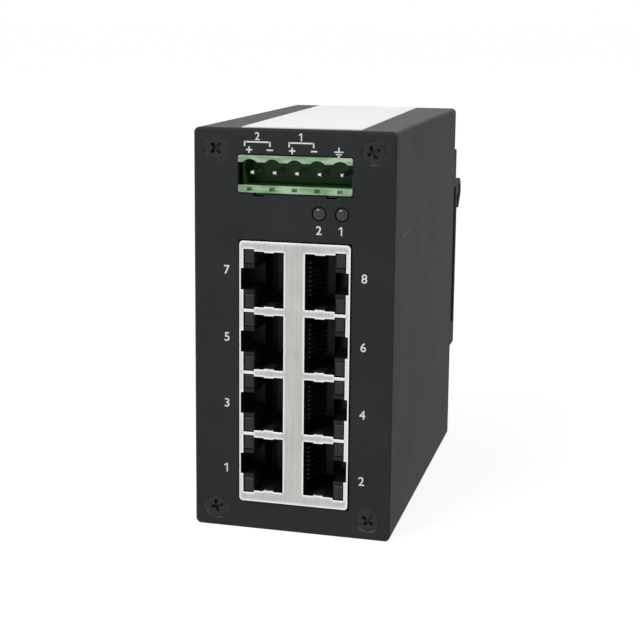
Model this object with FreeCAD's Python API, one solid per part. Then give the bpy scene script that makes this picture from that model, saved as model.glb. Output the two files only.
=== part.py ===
import FreeCAD, Part
import math
import os

# Network switch for a 35 mm mounting rail. All sizes are in millimetres.
# +Z is up and the front faces -Y. The origin is the middle of the seat that rests on the rail.

# Case: an extruded sleeve closed by a front and a rear panel, as wide and high as its front needs
case_depth = 84.0
panel_thickness = 1.6
sleeve_wall = 1.6
corner_radius = 1.2
panel_chamfer = 0.4

# Mounting rail and how the case stands to it: its centre line is a little above the case's middle
rail_width = 35.0
rail_rise = 3.5
stand_off = 5.5
rail_play = 0.2

# Countersunk machine screws, the same on both panels and on the bracket
screw_diameter = 2.9
screw_length = 8.0
screw_inset_x = 5.0
screw_inset_z = 4.45
head_diameter = 5.4
head_depth = 1.25
head_sink = 0.1
thread_clearance = 0.05
seat_clearance = 0.02
boss_radius = 2.9

# Label on the top of the sleeve, stuck on slightly askew
label_width = 26.5
label_film = 0.2
label_gap = 0.5
label_end_gap = 1.0
label_offset = 0.1
label_skew = 1.6

# Stack of eight sockets in two columns, with its sheet metal shield
jack_shift = 0.5
jack_bottom = 6.6
jack_lower_border = 1.7
jack_upper_border = 1.42
jack_middle_bar = 4.7
jack_depth = 33.0
jack_proud = 0.4
jack_gap = 0.25
shield_sheet = 0.3
shield_round = 0.8
side_bar = 0.9
port_rows = 4
port_pitch = 13.97
port_bar = 1.6
port_width = 9.15
port_depth = 15.0
plug_room = 6.7
latch_slot = 4.8
latch_slot_depth = 9.0
slot_wall = 0.3
slot_lip = 0.3
slot_lip_depth = 1.2
comb_start = 2.0
comb_width = 2.3
comb_depth = 4.0
comb_inset = 1.6
finger_width = 2.2
finger_sheet = 0.2
finger_bulge = 0.4
finger_length = 5.0
shield_tab = 2.4
shield_tab_inset = 6.0
tab_clearance = 0.2

# Indicator blocks in the outer corners of each socket
light_height = 3.4
light_overlap = 0.47
light_depth = 7.0
light_recess = 0.15
light_clearance = 0.05
light_round = 0.3

# Contact springs, eight in each socket
contact_count = 8
contact_pitch = 1.02
contact_width = 0.45
contact_strip = 0.3
contact_start = 4.0
contact_end = 10.8
contact_rise = 2.6

# Locating pegs of the socket block, in the main board
peg_side = 2.6
peg_foot = 4.0
peg_inset_z = 14.0
peg_inset_y = 8.0
peg_clearance = 0.1

# Circuit boards
board_thickness = 1.6
board_gap = 0.3
board_edge_play = 0.3
board_end_gap = 1.5
guide_play = 0.15
guide_height = 2.2
guide_rib = 1.3

# Power header, a pluggable terminal block's fixed half
header_shift = 0.4
header_above_jack = 10.6
header_drop = 5.75
header_side_gap = 1.85
header_spare = 0.3
header_height = 8.05
header_depth = 12.0
header_proud = 0.3
header_gap = 0.2
header_floor = 3.3
header_lower_wall = 1.55
header_end_wall = 0.9
header_end_back = 3.5
header_lip = 1.5
header_round = 0.4
scallop_radius = 2.2
scallop_rise = 0.7
pin_count = 5
pin_pitch = 5.0
pin_rise = 4.2
pin_side = 0.9
pin_recess = 1.5
pin_tail = 1.2
pin_taper = 0.25
key_slot_width = 1.2
key_slot_height = 0.8
key_slot_depth = 0.8
foot_width = 1.9
foot_height = 0.6
foot_inset = 3.6
foot_back = 1.2
foot_depth = 6.0

# Power board and the row of angled pins that joins it to the main board
power_board_drop = 9.0
power_board_rise = 1.6
power_board_margin = 0.9
link_count = 4
link_pitch = 2.0
link_inset = 1.7
link_rise = 1.3
link_side = 0.6
link_strip_width = 2.5
link_strip_depth = 2.4
link_turn = 3.2
link_tail = 0.9

# Status lights beside the header
status_x = (5.8, 10.8)
status_above_jack = 6.5
lens_radius = 1.45
lens_length = 5.3
lens_bevel = 0.4
lens_proud = 0.6
lens_clearance = 0.15
leg_spread = 2.54
leg_side = 0.45
spacer_height = 4.6
spacer_reach = 2.7

# Rail bracket: an extruded profile as wide as the case, with its heights taken from the rail's edges
bracket_above_rail = 13.0
lower_foot_drop = 0.5
lower_foot_height = 6.2
upper_foot = 3.0
foot_corner = 1.2
web = 2.0
hook_rise = 4.4
hook_wall = 1.45
hook_reach = 7.0
hook_round = 3.0
hook_drop = 3.6
hook_slope_drop = 0.2
rail_groove = 2.1
rib_depth = 2.4
hook_pocket = 1.6
bracket_screw_inset = 6.5
bracket_screw_edge = 4.3
bracket_tab_width = 7.0
bracket_tab_height = 2.0
bracket_tab_edge = 3.1
bracket_tab_clearance = 0.15

# Rail latch, a moulded slide under spring load
latch_thickness = 3.0
latch_half_width = 9.2
latch_slot_half_width = 9.5
latch_bar_half_width = 16.0
latch_bar_height = 5.0
latch_spring_room = 12.0
latch_stop_gap = 0.1
latch_lip = 2.6
latch_step = 0.7
latch_grip = 2.0
latch_tip = 2.5
latch_tip_crest = 0.8
latch_tail = 22.0
latch_tail_taper = 1.0
pull_slot_width = 6.0
pull_slot_height = 2.6
pull_slot_rise = 4.0
latch_round = 2.0

# Two folded strip springs beside the latch
spring_x = 12.6
spring_width = 3.9
spring_depth = 2.6
spring_strip = 0.9
spring_folds = 6

# Pieces on the main board: the switching ones behind the sockets, the power ones above them.
# Rises and drops are measured from the board's lower and upper edge.
chip_side = 14.0
chip_height = 1.4
chip_lift = 0.15
chip_leads = 9
chip_lead_pitch = 1.27
chip_lead_width = 0.5
chip_lead_reach = 1.1
chip_lead_thickness = 0.15
chip_rise = 36.0
memory_length = 4.9
memory_width = 3.9
memory_height = 1.5
memory_rise = 57.0
crystal_length = 11.0
crystal_width = 4.6
crystal_height = 3.6
crystal_chamfer = 1.4
crystal_rise = 20.0
capacitor_radius = 4.0
capacitor_height = 11.5
capacitor_from_rear = 12.0
input_capacitor_drop = 10.2
output_capacitor_drop = 20.7
inductor_side = 10.0
inductor_height = 5.0
inductor_chamfer = 2.0
inductor_from_rear = 26.0
inductor_drop = 12.2
regulator_length = 6.5
regulator_width = 6.1
regulator_height = 2.3
regulator_behind = 20.0
regulator_drop = 9.2
fuse_length = 8.0
fuse_width = 5.0
fuse_height = 3.0
fuse_behind = 20.0
fuse_drop = 18.7
surge_length = 6.9
surge_width = 5.9
surge_height = 2.3
surge_behind = 7.0
surge_drops = (5.8, 14.2)
package_draft = 0.2

# Places that follow from the sizes above
header_width = pin_count * pin_pitch + header_spare
case_width = header_width + 2 * (header_side_gap + boss_radius + screw_inset_x)
jack_width = 2 * (side_bar + port_width) + jack_middle_bar
jack_height = port_rows * port_pitch + jack_lower_border + jack_upper_border
case_height = jack_bottom + jack_height + header_above_jack + header_height + header_drop
port_height = port_pitch - port_bar
rail_height = case_height / 2 + rail_rise
left = -case_width / 2
right = case_width / 2
bottom = -rail_height
top = bottom + case_height
rear = -stand_off
front = rear - case_depth
sleeve_y = (front + panel_thickness, rear - panel_thickness)
screw_radius = screw_diameter / 2
head_radius = head_diameter / 2
corner_points = [
    (x, z)
    for x in (left + screw_inset_x, right - screw_inset_x)
    for z in (bottom + screw_inset_z, top - screw_inset_z)
]

jack_x = (jack_shift - jack_width / 2, jack_shift + jack_width / 2)
jack_z = (bottom + jack_bottom, bottom + jack_bottom + jack_height)
jack_y = (front - jack_proud, front - jack_proud + jack_depth)
jack_middle = sum(jack_x) / 2
housing_front = jack_y[0] + shield_sheet
light_side = port_width - plug_room
light_edge = port_height / 2 + light_overlap

board_x = (jack_x[0] - board_gap - board_thickness, jack_x[0] - board_gap)
board_y = (sleeve_y[0] + board_end_gap, sleeve_y[1] - board_end_gap)
board_z = (bottom + sleeve_wall + board_edge_play, top - sleeve_wall - board_edge_play)

header_x = (header_shift - header_width / 2, header_shift + header_width / 2)
header_z = (top - header_drop - header_height, top - header_drop)
header_y = (front - header_proud, front - header_proud + header_depth)
pin_z = header_z[0] + pin_rise
first_pin_x = sum(header_x) / 2 - pin_pitch * (pin_count - 1) / 2
pins_x = [first_pin_x + pin_pitch * i for i in range(pin_count)]

power_x = (board_x[1] + 2 * board_gap, header_x[1] + power_board_margin)
power_y = (header_y[1], header_y[1] + board_thickness)
power_z = (header_z[0] - power_board_drop, header_z[1] + power_board_rise)
link_x = power_x[0] + link_inset
chip_y = (jack_y[1] + board_y[1]) / 2
link_z = [power_z[0] + link_rise + link_pitch * i for i in range(link_count)]
link_y = power_y[1] + link_turn
status_z = jack_z[1] + status_above_jack
lens_y = (front - lens_proud, front - lens_proud + lens_length)

rail_top = rail_width / 2
bracket_top = rail_top + bracket_above_rail
lower_foot_top = rail_top - lower_foot_drop
bracket_bottom = lower_foot_top + lower_foot_height
hook_top = rail_top + hook_rise
hook_tip = rail_top - hook_drop
hook_slope_top = rail_top - hook_slope_drop
web_front = -web
lip_top = -lower_foot_top - latch_stop_gap
latch_back = (rear + web_front) / 2 + latch_thickness / 2
latch_front = latch_back - latch_thickness
latch_bar_bottom = -lower_foot_top + latch_spring_room
bracket_side_x = (left + bracket_screw_inset, right - bracket_screw_inset)
bracket_screw_points = [(x, rear + upper_foot, bracket_top - bracket_screw_edge) for x in bracket_side_x]


def point(x, y, z):
    return FreeCAD.Vector(x, y, z)


def block(x, y, z):
    """A block between the low and high value on each axis."""
    return Part.makeBox(x[1] - x[0], y[1] - y[0], z[1] - z[0], point(x[0], y[0], z[0]))


def around(middle, size):
    """The low and high value of a size centred on a middle."""
    return (middle - size / 2, middle + size / 2)


def ordered(a, b):
    return (min(a, b), max(a, b))


def rod_y(radius, x, y, z):
    """A round bar along Y."""
    return Part.makeCylinder(radius, y[1] - y[0], point(x, y[0], z), point(0, 1, 0))


def rod_x(radius, x, y, z):
    """A round bar along X."""
    return Part.makeCylinder(radius, x[1] - x[0], point(x[0], y, z), point(1, 0, 0))


def profile_along_x(edges, x):
    """A closed outline in the YZ plane, drawn out along X."""
    face = Part.Face(Part.Wire(edges))
    face.translate(point(x[0], 0, 0))
    return face.extrude(point(x[1] - x[0], 0, 0))


def polygon(points):
    """Straight edges through the points and back to the first."""
    return Part.makePolygon(points + [points[0]]).Edges


def straight_edges(shape, axis):
    """The straight edges of a shape that run along an axis."""
    found = []
    for edge in shape.Edges:
        if isinstance(edge.Curve, Part.Line) and abs(edge.tangentAt(edge.FirstParameter).dot(axis)) > 0.999:
            found.append(edge)
    return found


def rounded_block(x, y, z, axis, radius):
    """A block with the four edges along one axis rounded."""
    shape = block(x, y, z)
    return shape.makeFillet(radius, straight_edges(shape, axis))


def revolved_along_y(outline, x, y, z):
    """A turned shape: the outline's points are a radius and a distance along Y."""
    face = Part.Face(Part.Wire(outline))
    shape = face.revolve(point(0, 0, 0), point(0, 1, 0), 360)
    shape.translate(point(x, y, z))
    return shape


def port_sides():
    """Number, column side and middle height of each socket, odd numbers on the left."""
    ports = []
    for row in range(port_rows):
        z = jack_z[0] + jack_lower_border + port_pitch * (row + 0.5)
        ports.append((2 * row + 1, -1, z))
        ports.append((2 * row + 2, 1, z))
    return ports


def port_edges(side):
    """The outer edge, light edge and inner edge of a socket's opening along X."""
    outer = jack_middle + side * (jack_width / 2 - side_bar)
    return outer, outer - side * light_side, outer - side * port_width


def slot_end(side):
    """Where a latch slot stops short of the block's outer face."""
    return jack_middle + side * (jack_width / 2 - slot_wall)


def light_spans(z):
    """The heights of the lower and upper indicator block of a socket."""
    return (
        (z - light_edge, z - light_edge + light_height),
        (z + light_edge - light_height, z + light_edge),
    )


def screw_outline(gap, above, length):
    """Half of a countersunk screw's section with a gap around it, drawn on above its face."""
    taper = (head_radius - screw_radius) / head_depth
    return polygon([
        point(0, -above, 0),
        point(head_radius + gap + above * taper, -above, 0),
        point(screw_radius + gap, head_depth, 0),
        point(screw_radius + gap, length, 0),
        point(0, length, 0),
    ])


def turned_at(outline, x, y, z, way):
    """A turned shape that starts just under the face at y and points along +Y or -Y."""
    shape = revolved_along_y(outline, 0, 0, 0)
    if way < 0:
        shape.rotate(point(0, 0, 0), point(0, 0, 1), 180)
    shape.translate(point(x, y + way * head_sink, z))
    return shape


def screw(x, y, z, way):
    return turned_at(screw_outline(0, 0, screw_length), x, y, z, way)


def screw_seat(x, y, z, way, depth):
    """The countersink and hole that a screw needs in the face at y."""
    return turned_at(screw_outline(seat_clearance, 2 * head_sink, depth), x, y, z, way)


def corner_screws(y, way):
    return Part.makeCompound([screw(x, y, z, way) for x, z in corner_points])


def case_sleeve():
    """Extruded sleeve with a screw boss in each corner and grooves for the main board."""
    outer = rounded_block((left, right), sleeve_y, (bottom, top), point(0, 1, 0), corner_radius)
    inner = block(
        (left + sleeve_wall, right - sleeve_wall),
        sleeve_y,
        (bottom + sleeve_wall, top - sleeve_wall),
    )
    shell = outer.cut(inner)
    extras = []
    for x, z in corner_points:
        wall_x = left + sleeve_wall if x < 0 else right - sleeve_wall
        wall_z = bottom + sleeve_wall if z < sum(board_z) / 2 else top - sleeve_wall
        extras.append(block(ordered(wall_x, x), sleeve_y, ordered(wall_z, z)))
        extras.append(rod_y(boss_radius, x, sleeve_y, z))
    groove = (board_x[0] - guide_play, board_x[1] + guide_play)
    floor = bottom + sleeve_wall
    ceiling = top - sleeve_wall
    for low, high in ((groove[0] - guide_rib, groove[0]), (groove[1], groove[1] + guide_rib)):
        extras.append(block((low, high), sleeve_y, (floor, floor + guide_height)))
        extras.append(block((low, high), sleeve_y, (ceiling - guide_height, ceiling)))
    shell = shell.fuse([piece.common(outer) for piece in extras])
    bores = [rod_y(screw_radius + thread_clearance, x, sleeve_y, z) for x, z in corner_points]
    return shell.cut(bores).removeSplitter()


def panel(y, way):
    """A panel blank with rounded corners, a small chamfer and four countersunk holes."""
    plate = rounded_block((left, right), y, (bottom, top), point(0, 1, 0), corner_radius)
    face_y = y[0] if way > 0 else y[1]
    rim = [e for e in plate.Edges if abs(e.CenterOfMass.y - face_y) < 1e-6]
    plate = plate.makeChamfer(panel_chamfer, rim)
    seats = [screw_seat(x, face_y, z, way, panel_thickness + 1) for x, z in corner_points]
    return plate.cut(seats)


def front_panel():
    """Front panel with openings for the sockets, the header and the status lights."""
    y = (front, front + panel_thickness)
    cut_y = (y[0] - 1, y[1] + 1)
    sockets = block(
        (jack_x[0] - jack_gap, jack_x[1] + jack_gap),
        cut_y,
        (jack_z[0] - jack_gap, jack_z[1] + jack_gap),
    )
    header = block(
        (header_x[0] - header_gap, header_x[1] + header_gap),
        cut_y,
        (header_z[0] - header_gap, header_z[1] + header_gap),
    )
    notches = [
        block(
            around(x, foot_width + 2 * header_gap),
            cut_y,
            (header_z[0] - foot_height - header_gap, header_z[0]),
        )
        for x in header_feet_x()
    ]
    lights = [rod_y(lens_radius + lens_clearance, x, cut_y, status_z) for x in status_x]
    return panel(y, 1).cut([sockets, header] + notches + lights)


def rear_panel():
    """Rear panel with tapped holes for the bracket's screws and slots for its tongues."""
    y = (rear - panel_thickness, rear)
    holes = [
        rod_y(screw_radius + thread_clearance, x, (y[0] - 1, y[1] + 1), z)
        for x, _, z in bracket_screw_points
    ]
    return panel(y, -1).cut(holes + bracket_tabs(bracket_tab_clearance))


def top_label():
    """Blank film label along the top of the sleeve."""
    y = (sleeve_y[0] + label_gap, sleeve_y[1] - label_end_gap)
    film = block(around(label_offset, label_width), y, (top, top + label_film))
    film.rotate(point(label_offset, sum(y) / 2, top), point(0, 0, 1), label_skew)
    return film


def bracket_outline():
    """Section of the rail bracket in the YZ plane, hook at the top and hollow next to the case."""
    diagonal = math.sqrt(0.5)
    inner_round = hook_round - hook_wall
    reach_in = hook_reach - hook_wall
    ceiling = hook_top - hook_pocket
    outer_bow = hook_round * (1 - diagonal)
    outer_mid = point(0, hook_reach - outer_bow, hook_top - outer_bow)
    inner_bow = inner_round * (1 - diagonal)
    inner_mid = point(0, reach_in - inner_bow, ceiling - inner_bow)
    corner_y = rear + upper_foot
    corner_bow = foot_corner * (1 - diagonal)
    corner_mid = point(0, corner_y - corner_bow, bracket_top - corner_bow)
    slope_shift = hook_wall * 0.7
    start = point(0, rear, bracket_top)
    corner_start = point(0, corner_y - foot_corner, bracket_top)
    corner_end = point(0, corner_y, bracket_top - foot_corner)
    outer_start = point(0, hook_reach - hook_round, hook_top)
    outer_end = point(0, hook_reach, hook_top - hook_round)
    inner_start = point(0, reach_in, ceiling - inner_round)
    inner_end = point(0, reach_in - inner_round, ceiling)
    outline = [Part.makeLine(start, corner_start)]
    outline.append(Part.Arc(corner_start, corner_mid, corner_end).toShape())
    outline.append(Part.makePolygon([corner_end, point(0, corner_y, hook_top), outer_start]))
    outline.append(Part.Arc(outer_start, outer_mid, outer_end).toShape())
    outline.append(Part.makePolygon([
        outer_end,
        point(0, hook_reach, hook_slope_top),
        point(0, hook_reach - hook_slope_top + hook_tip, hook_tip),
        point(0, rail_groove, hook_tip),
        point(0, rail_groove, hook_tip + slope_shift),
        point(0, reach_in, hook_slope_top + slope_shift),
        inner_start,
    ]))
    outline.append(Part.Arc(inner_start, inner_mid, inner_end).toShape())
    outline.append(Part.makePolygon([
        inner_end,
        point(0, rib_depth, ceiling),
        point(0, rib_depth, rail_top + rail_play),
        point(0, 0, rail_top + rail_play),
        point(0, 0, -bracket_bottom),
        point(0, rear, -bracket_bottom),
        point(0, rear, -lower_foot_top),
        point(0, web_front, -lower_foot_top),
        point(0, web_front, ceiling),
        point(0, rear, ceiling),
        start,
    ]))
    edges = []
    for piece in outline:
        edges.extend(piece.Edges)
    return edges


def bracket_tabs(gap):
    """Tongues on the bracket's lower foot, which stand in slots of the rear panel."""
    y = (rear - panel_thickness - gap, rear + gap)
    z = around(bracket_tab_edge - bracket_bottom, bracket_tab_height + 2 * gap)
    return [block(around(x, bracket_tab_width + 2 * gap), y, z) for x in bracket_side_x]


def rail_bracket():
    """Extruded bracket with a milled gap for the latch, two tongues and two countersunk holes."""
    shape = profile_along_x(bracket_outline(), (left, right))
    gap = block(
        (-latch_slot_half_width, latch_slot_half_width),
        (rear - 1, 1),
        (-bracket_bottom - 1, -lower_foot_top),
    )
    seats = [screw_seat(x, y, z, -1, y - rear + 1) for x, y, z in bracket_screw_points]
    return shape.cut([gap] + seats).fuse(bracket_tabs(0)).removeSplitter()


def bracket_screws():
    return Part.makeCompound([screw(x, y, z, -1) for x, y, z in bracket_screw_points])


def rail_latch():
    """Latch slide: a plate in the bracket's hollow, a lip that grips the rail and a pull tab."""
    tail_end = lip_top - latch_tail
    bar_top = latch_bar_bottom + latch_bar_height
    crest = -rail_top + latch_grip
    lip_back = rail_groove + latch_tip
    section = polygon([
        point(0, latch_front, bar_top),
        point(0, latch_back, bar_top),
        point(0, latch_back, lip_top),
        point(0, 0, lip_top),
        point(0, 0, lip_top - latch_step),
        point(0, rail_groove, lip_top - latch_step),
        point(0, rail_groove, crest),
        point(0, rail_groove + latch_tip_crest, crest),
        point(0, lip_back, lip_top - latch_step),
        point(0, lip_back, lip_top - latch_lip),
        point(0, latch_back, lip_top - latch_lip),
        point(0, latch_back - latch_tail_taper, tail_end),
        point(0, latch_front, tail_end),
    ])
    slide = profile_along_x(section, (-latch_half_width, latch_half_width))
    slide = slide.makeFillet(latch_round, tail_corners(slide, tail_end))
    y = (latch_front, latch_back)
    bar = block((-latch_bar_half_width, latch_bar_half_width), y, (latch_bar_bottom, bar_top))
    pull = rounded_block(
        around(0, pull_slot_width),
        (latch_front - 1, latch_back + 1),
        around(tail_end + pull_slot_rise, pull_slot_height),
        point(0, 1, 0),
        pull_slot_height / 2.5,
    )
    return slide.fuse(bar).cut(pull).removeSplitter()


def tail_corners(slide, tail_end):
    """The two upright corner edges at the free end of the pull tab."""
    return [
        e for e in straight_edges(slide, point(0, 1, 0))
        if abs(e.CenterOfMass.z - tail_end) < 1e-6
    ]


def latch_springs():
    """Two strips folded to and fro between the bracket's lower foot and the latch's cross bar."""
    y = around((latch_front + latch_back) / 2, spring_depth)
    left_side = []
    right_side = []
    for i in range(spring_folds + 1):
        fold = spring_width / 2 if i % 2 else -spring_width / 2
        z = latch_bar_bottom - latch_spring_room * i / spring_folds
        left_side.append(point(fold - spring_strip / 2, y[0], z))
        right_side.insert(0, point(fold + spring_strip / 2, y[0], z))
    strip = Part.Face(Part.Wire(polygon(left_side + right_side))).extrude(point(0, y[1] - y[0], 0))
    springs = []
    for x in (-spring_x, spring_x):
        spring = strip.copy()
        spring.translate(point(x, 0, 0))
        springs.append(spring)
    return Part.makeCompound(springs)


def header_feet_x():
    return (header_x[0] + foot_inset + foot_width / 2, header_x[1] - foot_inset - foot_width / 2)


def power_header():
    """Header with a scalloped upper lip, a socket open at its ends, a bay for each pin and two feet."""
    body = rounded_block(header_x, header_y, header_z, point(0, 1, 0), header_round)
    socket_y = (header_y[0] - 1, header_y[1] - header_floor)
    lip_bottom = header_z[1] - header_lip
    socket_z = (header_z[0] + header_lower_wall, lip_bottom)
    socket = block((header_x[0] + header_end_wall, header_x[1] - header_end_wall), socket_y, socket_z)
    end_y = (header_y[0] - 1, header_y[0] + header_end_back)
    open_ends = [
        block((header_x[0] - 1, header_x[0] + header_end_wall), end_y, socket_z),
        block((header_x[1] - header_end_wall, header_x[1] + 1), end_y, socket_z),
    ]
    bay_z = lip_bottom + scallop_rise - scallop_radius
    bays = [rod_y(scallop_radius, x, socket_y, bay_z) for x in pins_x]
    pin_holes = [
        block(around(x, pin_side), (header_y[0], header_y[1] + 1), around(pin_z, pin_side))
        for x in pins_x
    ]
    keys = [
        block(
            around(x, key_slot_width),
            (header_y[0] - 1, header_y[0] + key_slot_depth),
            around(header_z[0] + header_lower_wall / 2, key_slot_height),
        )
        for x in pins_x
    ]
    foot_y = (header_y[0] + foot_back, header_y[0] + foot_depth)
    foot_z = (header_z[0] - foot_height, header_z[0])
    feet = [block(around(x, foot_width), foot_y, foot_z) for x in header_feet_x()]
    return body.fuse(feet).cut([socket] + open_ends + bays + pin_holes + keys).removeSplitter()


def power_pins():
    """Square pins through the header's floor and the power board."""
    y = (header_y[0] + pin_recess, power_y[1] + pin_tail)
    pins = []
    for x in pins_x:
        pin = block(around(x, pin_side), y, around(pin_z, pin_side))
        tip = [e for e in pin.Edges if abs(e.CenterOfMass.y - y[0]) < 1e-6]
        pins.append(pin.makeChamfer(pin_taper, tip))
    return Part.makeCompound(pins)


def jack_shield():
    """Folded sheet around the socket stack, open on the side that stands on the board."""
    shell = rounded_block(jack_x, jack_y, jack_z, point(0, 1, 0), shield_round).cut(rounded_block(
        (jack_x[0] - 1, jack_x[1] - shield_sheet),
        (housing_front, jack_y[1] - shield_sheet),
        (jack_z[0] + shield_sheet, jack_z[1] - shield_sheet),
        point(0, 1, 0),
        shield_round - shield_sheet,
    ))
    windows = []
    additions = []
    for _, side, z in port_sides():
        outer, lights, inner = port_edges(side)
        slot_z = around(z, latch_slot + 2 * slot_lip)
        front_cut = (jack_y[0] - 1, housing_front)
        windows.append(block(ordered(outer, inner), front_cut, around(z, port_height)))
        windows.append(block(ordered(outer, lights), front_cut, around(z, 2 * light_edge)))
        windows.append(block(ordered(slot_end(side), outer), front_cut, slot_z))
        additions.extend(shield_lips(side, outer, z))
        additions.extend(shield_fingers(lights, inner, z))
    tabs = []
    tab_x = (board_x[0] - board_gap, jack_x[0] + shield_round)
    for y in (jack_y[0] + shield_tab_inset, jack_y[1] - shield_tab_inset):
        for low in (jack_z[0], jack_z[1] - shield_sheet):
            tabs.append(block(tab_x, around(y, shield_tab), (low, low + shield_sheet)))
    return shell.cut(windows).fuse(additions + tabs).removeSplitter()


def shield_lips(side, outer, z):
    """Small lips folded in at the two ends of a latch notch."""
    half = latch_slot / 2
    y = (jack_y[0], jack_y[0] + slot_lip_depth)
    x = ordered(slot_end(side), outer)
    return [block(x, y, (z - half - slot_lip, z - half)), block(x, y, (z + half, z + half + slot_lip))]


def shield_fingers(lights, inner, z):
    """Two bent fingers that touch the plug's shell, one at each end of the opening."""
    middle = (lights + inner) / 2
    fingers = []
    for way in (-1, 1):
        wall = z + way * port_height / 2
        crest = wall - way * finger_bulge
        y = jack_y[0]
        section = polygon([
            point(0, y, wall),
            point(0, y, wall - way * finger_sheet),
            point(0, y + finger_length / 2, crest),
            point(0, y + finger_length, wall - way * finger_sheet),
            point(0, y + finger_length, wall),
        ])
        fingers.append(profile_along_x(section, around(middle, finger_width)))
    return fingers


def jack_housing():
    """Moulded block with eight plug cavities and their contact combs, latch slots and board pegs."""
    body = rounded_block(
        (jack_x[0], jack_x[1] - shield_sheet),
        (housing_front, jack_y[1] - shield_sheet),
        (jack_z[0] + shield_sheet, jack_z[1] - shield_sheet),
        point(0, 1, 0),
        shield_round - shield_sheet,
    )
    cuts = []
    combs = []
    for _, side, z in port_sides():
        outer, lights, inner = port_edges(side)
        mouth = jack_y[0] - 1
        back = jack_y[0] + port_depth
        slot_y = (mouth, jack_y[0] + latch_slot_depth)
        lip_y = (mouth, jack_y[0] + slot_lip_depth)
        light_y = (mouth, jack_y[0] + light_depth)
        cuts.append(block(ordered(lights, inner), (mouth, back), around(z, port_height)))
        cuts.append(block(ordered(slot_end(side), lights), slot_y, around(z, latch_slot)))
        cuts.append(block(ordered(slot_end(side), outer), lip_y, around(z, latch_slot + 2 * slot_lip)))
        cuts += [block(ordered(lights, outer), light_y, span) for span in light_spans(z)]
        combs.append(block(
            ordered(inner + side * comb_start, inner + side * (comb_start + comb_width)),
            (back - comb_depth, back),
            around(z, port_height - 2 * comb_inset),
        ))
    pegs = []
    for z in peg_heights():
        y = jack_y[1] - peg_inset_y
        pegs.append(block((board_x[0], jack_x[0]), around(y, peg_side), around(z, peg_side)))
        pegs.append(block((board_x[1], jack_x[0]), around(y, peg_foot), around(z, peg_foot)))
    return body.cut(cuts).fuse(combs + pegs).removeSplitter()


def peg_heights():
    return (jack_z[0] + peg_inset_z, jack_z[1] - peg_inset_z)


def port_lights(side, z):
    """The two indicator blocks of one socket, with softened front edges."""
    outer, lights, _ = port_edges(side)
    blocks = []
    gap = light_clearance
    low, high = ordered(outer, lights)
    for span in light_spans(z):
        piece = block(
            (low + gap, high - gap),
            (jack_y[0] + light_recess, jack_y[0] + light_depth),
            (span[0] + gap, span[1] - gap),
        )
        rim = [e for e in piece.Edges if abs(e.CenterOfMass.y - jack_y[0] - light_recess) < 1e-6]
        blocks.append(piece.makeChamfer(light_round, rim))
    return Part.makeCompound(blocks)


def port_contacts(side, z):
    """Eight contact springs of one socket, rising from its inner wall towards its back."""
    wall = port_edges(side)[2]
    face = wall + side * contact_strip
    rise = side * contact_rise
    y = (jack_y[0] + contact_start, jack_y[0] + contact_end)
    section = [
        point(wall, y[0], 0),
        point(face, y[0], 0),
        point(wall + rise, y[1], 0),
        point(wall + rise - side * contact_strip, y[1], 0),
    ]
    strip = Part.Face(Part.Wire(polygon(section))).extrude(point(0, 0, contact_width))
    springs = []
    for i in range(contact_count):
        spring = strip.copy()
        offset = contact_pitch * (i - (contact_count - 1) / 2)
        spring.translate(point(0, 0, z + offset - contact_width / 2))
        springs.append(spring)
    return Part.makeCompound(springs)


def main_board():
    """Upright board beside the sockets, slid into the sleeve's grooves and notched for the header."""
    board = block(board_x, board_y, board_z)
    through = (board_x[0] - 1, board_x[1] + 1)
    header_room = (header_z[0] - board_gap, header_z[1] + board_gap)
    notch = block(through, (board_y[0] - 1, header_y[1] + board_gap), header_room)
    peg_hole = peg_side + 2 * peg_clearance
    peg_y = around(jack_y[1] - peg_inset_y, peg_hole)
    holes = [notch] + [block(through, peg_y, around(z, peg_hole)) for z in peg_heights()]
    holes += [block(through, around(link_y, link_side), around(z, link_side)) for z in link_z]
    for y in (jack_y[0] + shield_tab_inset, jack_y[1] - shield_tab_inset):
        for low in (jack_z[0], jack_z[1] - shield_sheet):
            holes.append(block(
                through,
                around(y, shield_tab + 2 * tab_clearance),
                (low - tab_clearance, low + shield_sheet + tab_clearance),
            ))
    return board.cut(holes)


def power_board():
    """Small board behind the header, parallel to the front panel."""
    board = block(power_x, power_y, power_z)
    through = (power_y[0] - 1, power_y[1] + 1)
    holes = [block(around(x, pin_side), through, around(pin_z, pin_side)) for x in pins_x]
    holes += [block(around(link_x, link_side), through, around(z, link_side)) for z in link_z]
    holes += [block(around(x, leg_side), through, around(status_z, leg_side)) for x in leg_places()]
    return board.cut(holes)


def leg_places():
    return [x + side * leg_spread / 2 for x in status_x for side in (-1, 1)]


def link_strip():
    """Plastic strip that carries the link pins on the power board."""
    strip = block(
        around(link_x, link_strip_width),
        (power_y[1], power_y[1] + link_strip_depth),
        around(sum(link_z) / link_count, link_pitch * link_count),
    )
    holes = [
        block(around(link_x, link_side), (power_y[0], link_y), around(z, link_side)) for z in link_z
    ]
    return strip.cut(holes)


def link_pins():
    """Angled pins from the power board into the main board."""
    half = link_side / 2
    start = power_y[0] - link_tail
    end = board_x[0] - link_tail
    section = polygon([
        point(link_x - half, start, 0),
        point(link_x + half, start, 0),
        point(link_x + half, link_y + half, 0),
        point(end, link_y + half, 0),
        point(end, link_y - half, 0),
        point(link_x - half, link_y - half, 0),
    ])
    pin = Part.Face(Part.Wire(section)).extrude(point(0, 0, link_side))
    pins = []
    for z in link_z:
        one = pin.copy()
        one.translate(point(0, 0, z - half))
        pins.append(one)
    return Part.makeCompound(pins)


def status_light(x):
    """Round indicator with a bevelled tip."""
    outline = polygon([
        point(0, 0, 0),
        point(lens_radius - lens_bevel, 0, 0),
        point(lens_radius, lens_bevel, 0),
        point(lens_radius, lens_length, 0),
        point(0, lens_length, 0),
    ])
    return revolved_along_y(outline, x, lens_y[0], status_z)


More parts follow.
